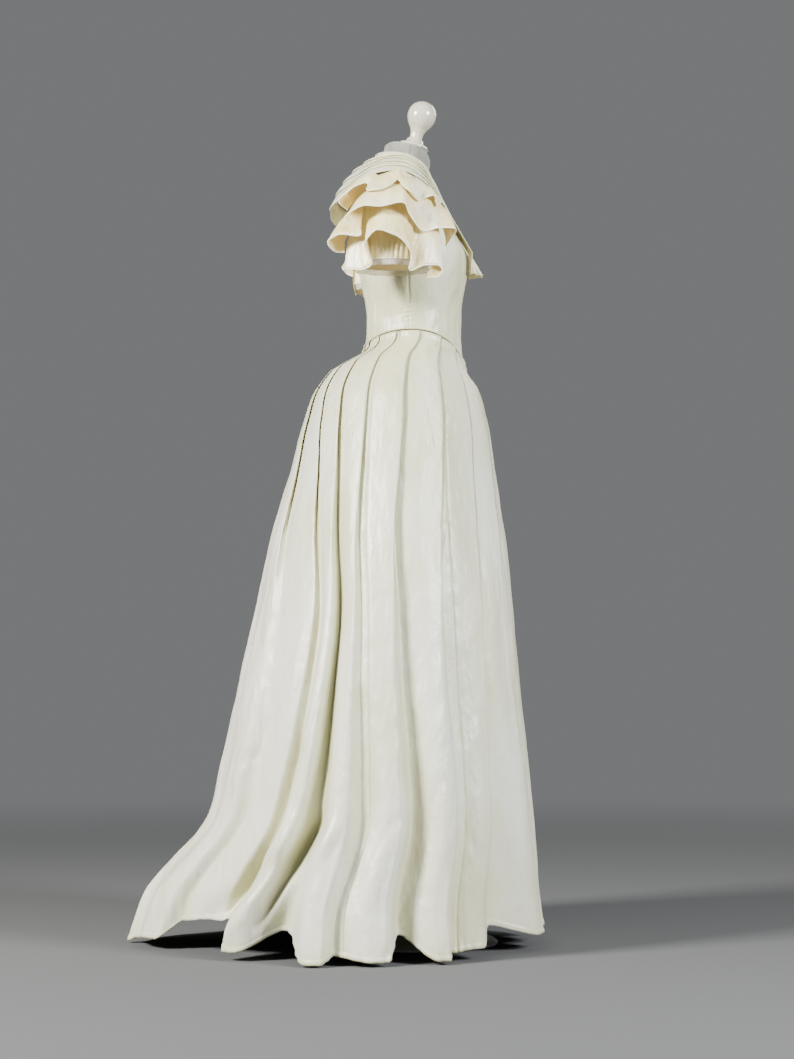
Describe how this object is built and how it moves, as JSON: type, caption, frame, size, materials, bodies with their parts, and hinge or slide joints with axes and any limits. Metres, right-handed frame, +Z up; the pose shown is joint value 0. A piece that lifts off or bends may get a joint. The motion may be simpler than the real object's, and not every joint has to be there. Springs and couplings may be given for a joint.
{
  "type": "wedding dress on dress form",
  "caption": "Long satin wedding dress with knife-pleated skirt, short train, tiered ruffle sleeves and a pleated shawl collar, on a limbless dress form with a round base.",
  "frame": {"origin": "middle of the stand's round base, on the floor", "axes": "+Z up along the stand's pole, -Y towards the front of the dress, +X towards the wearer's left"},
  "size_m": [0.8364, 0.8268, 1.6846],
  "materials": {
    "satin": "heavy satin with a soft sheen",
    "ruffle_satin": "satin with a soft sheen, warmer where it shades itself",
    "net": "fine open net",
    "form_cover": "matt jersey cover",
    "lacquer": "glossy cream lacquer",
    "stand_metal": "satin white paint"
  },
  "bodies": {
    "root": {"form_torso": "form_cover", "form_neck_cap": "lacquer", "form_finial": "lacquer", "form_pole": "stand_metal", "form_base": "stand_metal", "bodice_front": "satin", "bodice_side_front_left": "satin", "bodice_side_front_right": "satin", "bodice_side_back_left": "satin", "bodice_side_back_right": "satin", "bodice_back_left": "satin", "bodice_back_right": "satin", "waist_piping": "satin", "skirt_front": "satin", "skirt_side_front_left": "satin", "skirt_side_front_right": "satin", "skirt_side_back_left": "satin", "skirt_side_back_right": "satin", "skirt_back": "satin", "collar": "satin", "sleeve_left": "ruffle_satin", "sleeve_right": "ruffle_satin", "ruffle_top_left": "ruffle_satin", "ruffle_top_right": "ruffle_satin", "ruffle_middle_left": "ruffle_satin", "ruffle_middle_right": "ruffle_satin", "ruffle_low_left": "ruffle_satin", "ruffle_low_right": "ruffle_satin", "sleeve_net_left": "net", "sleeve_net_right": "net"}
  },
  "joints": []
}
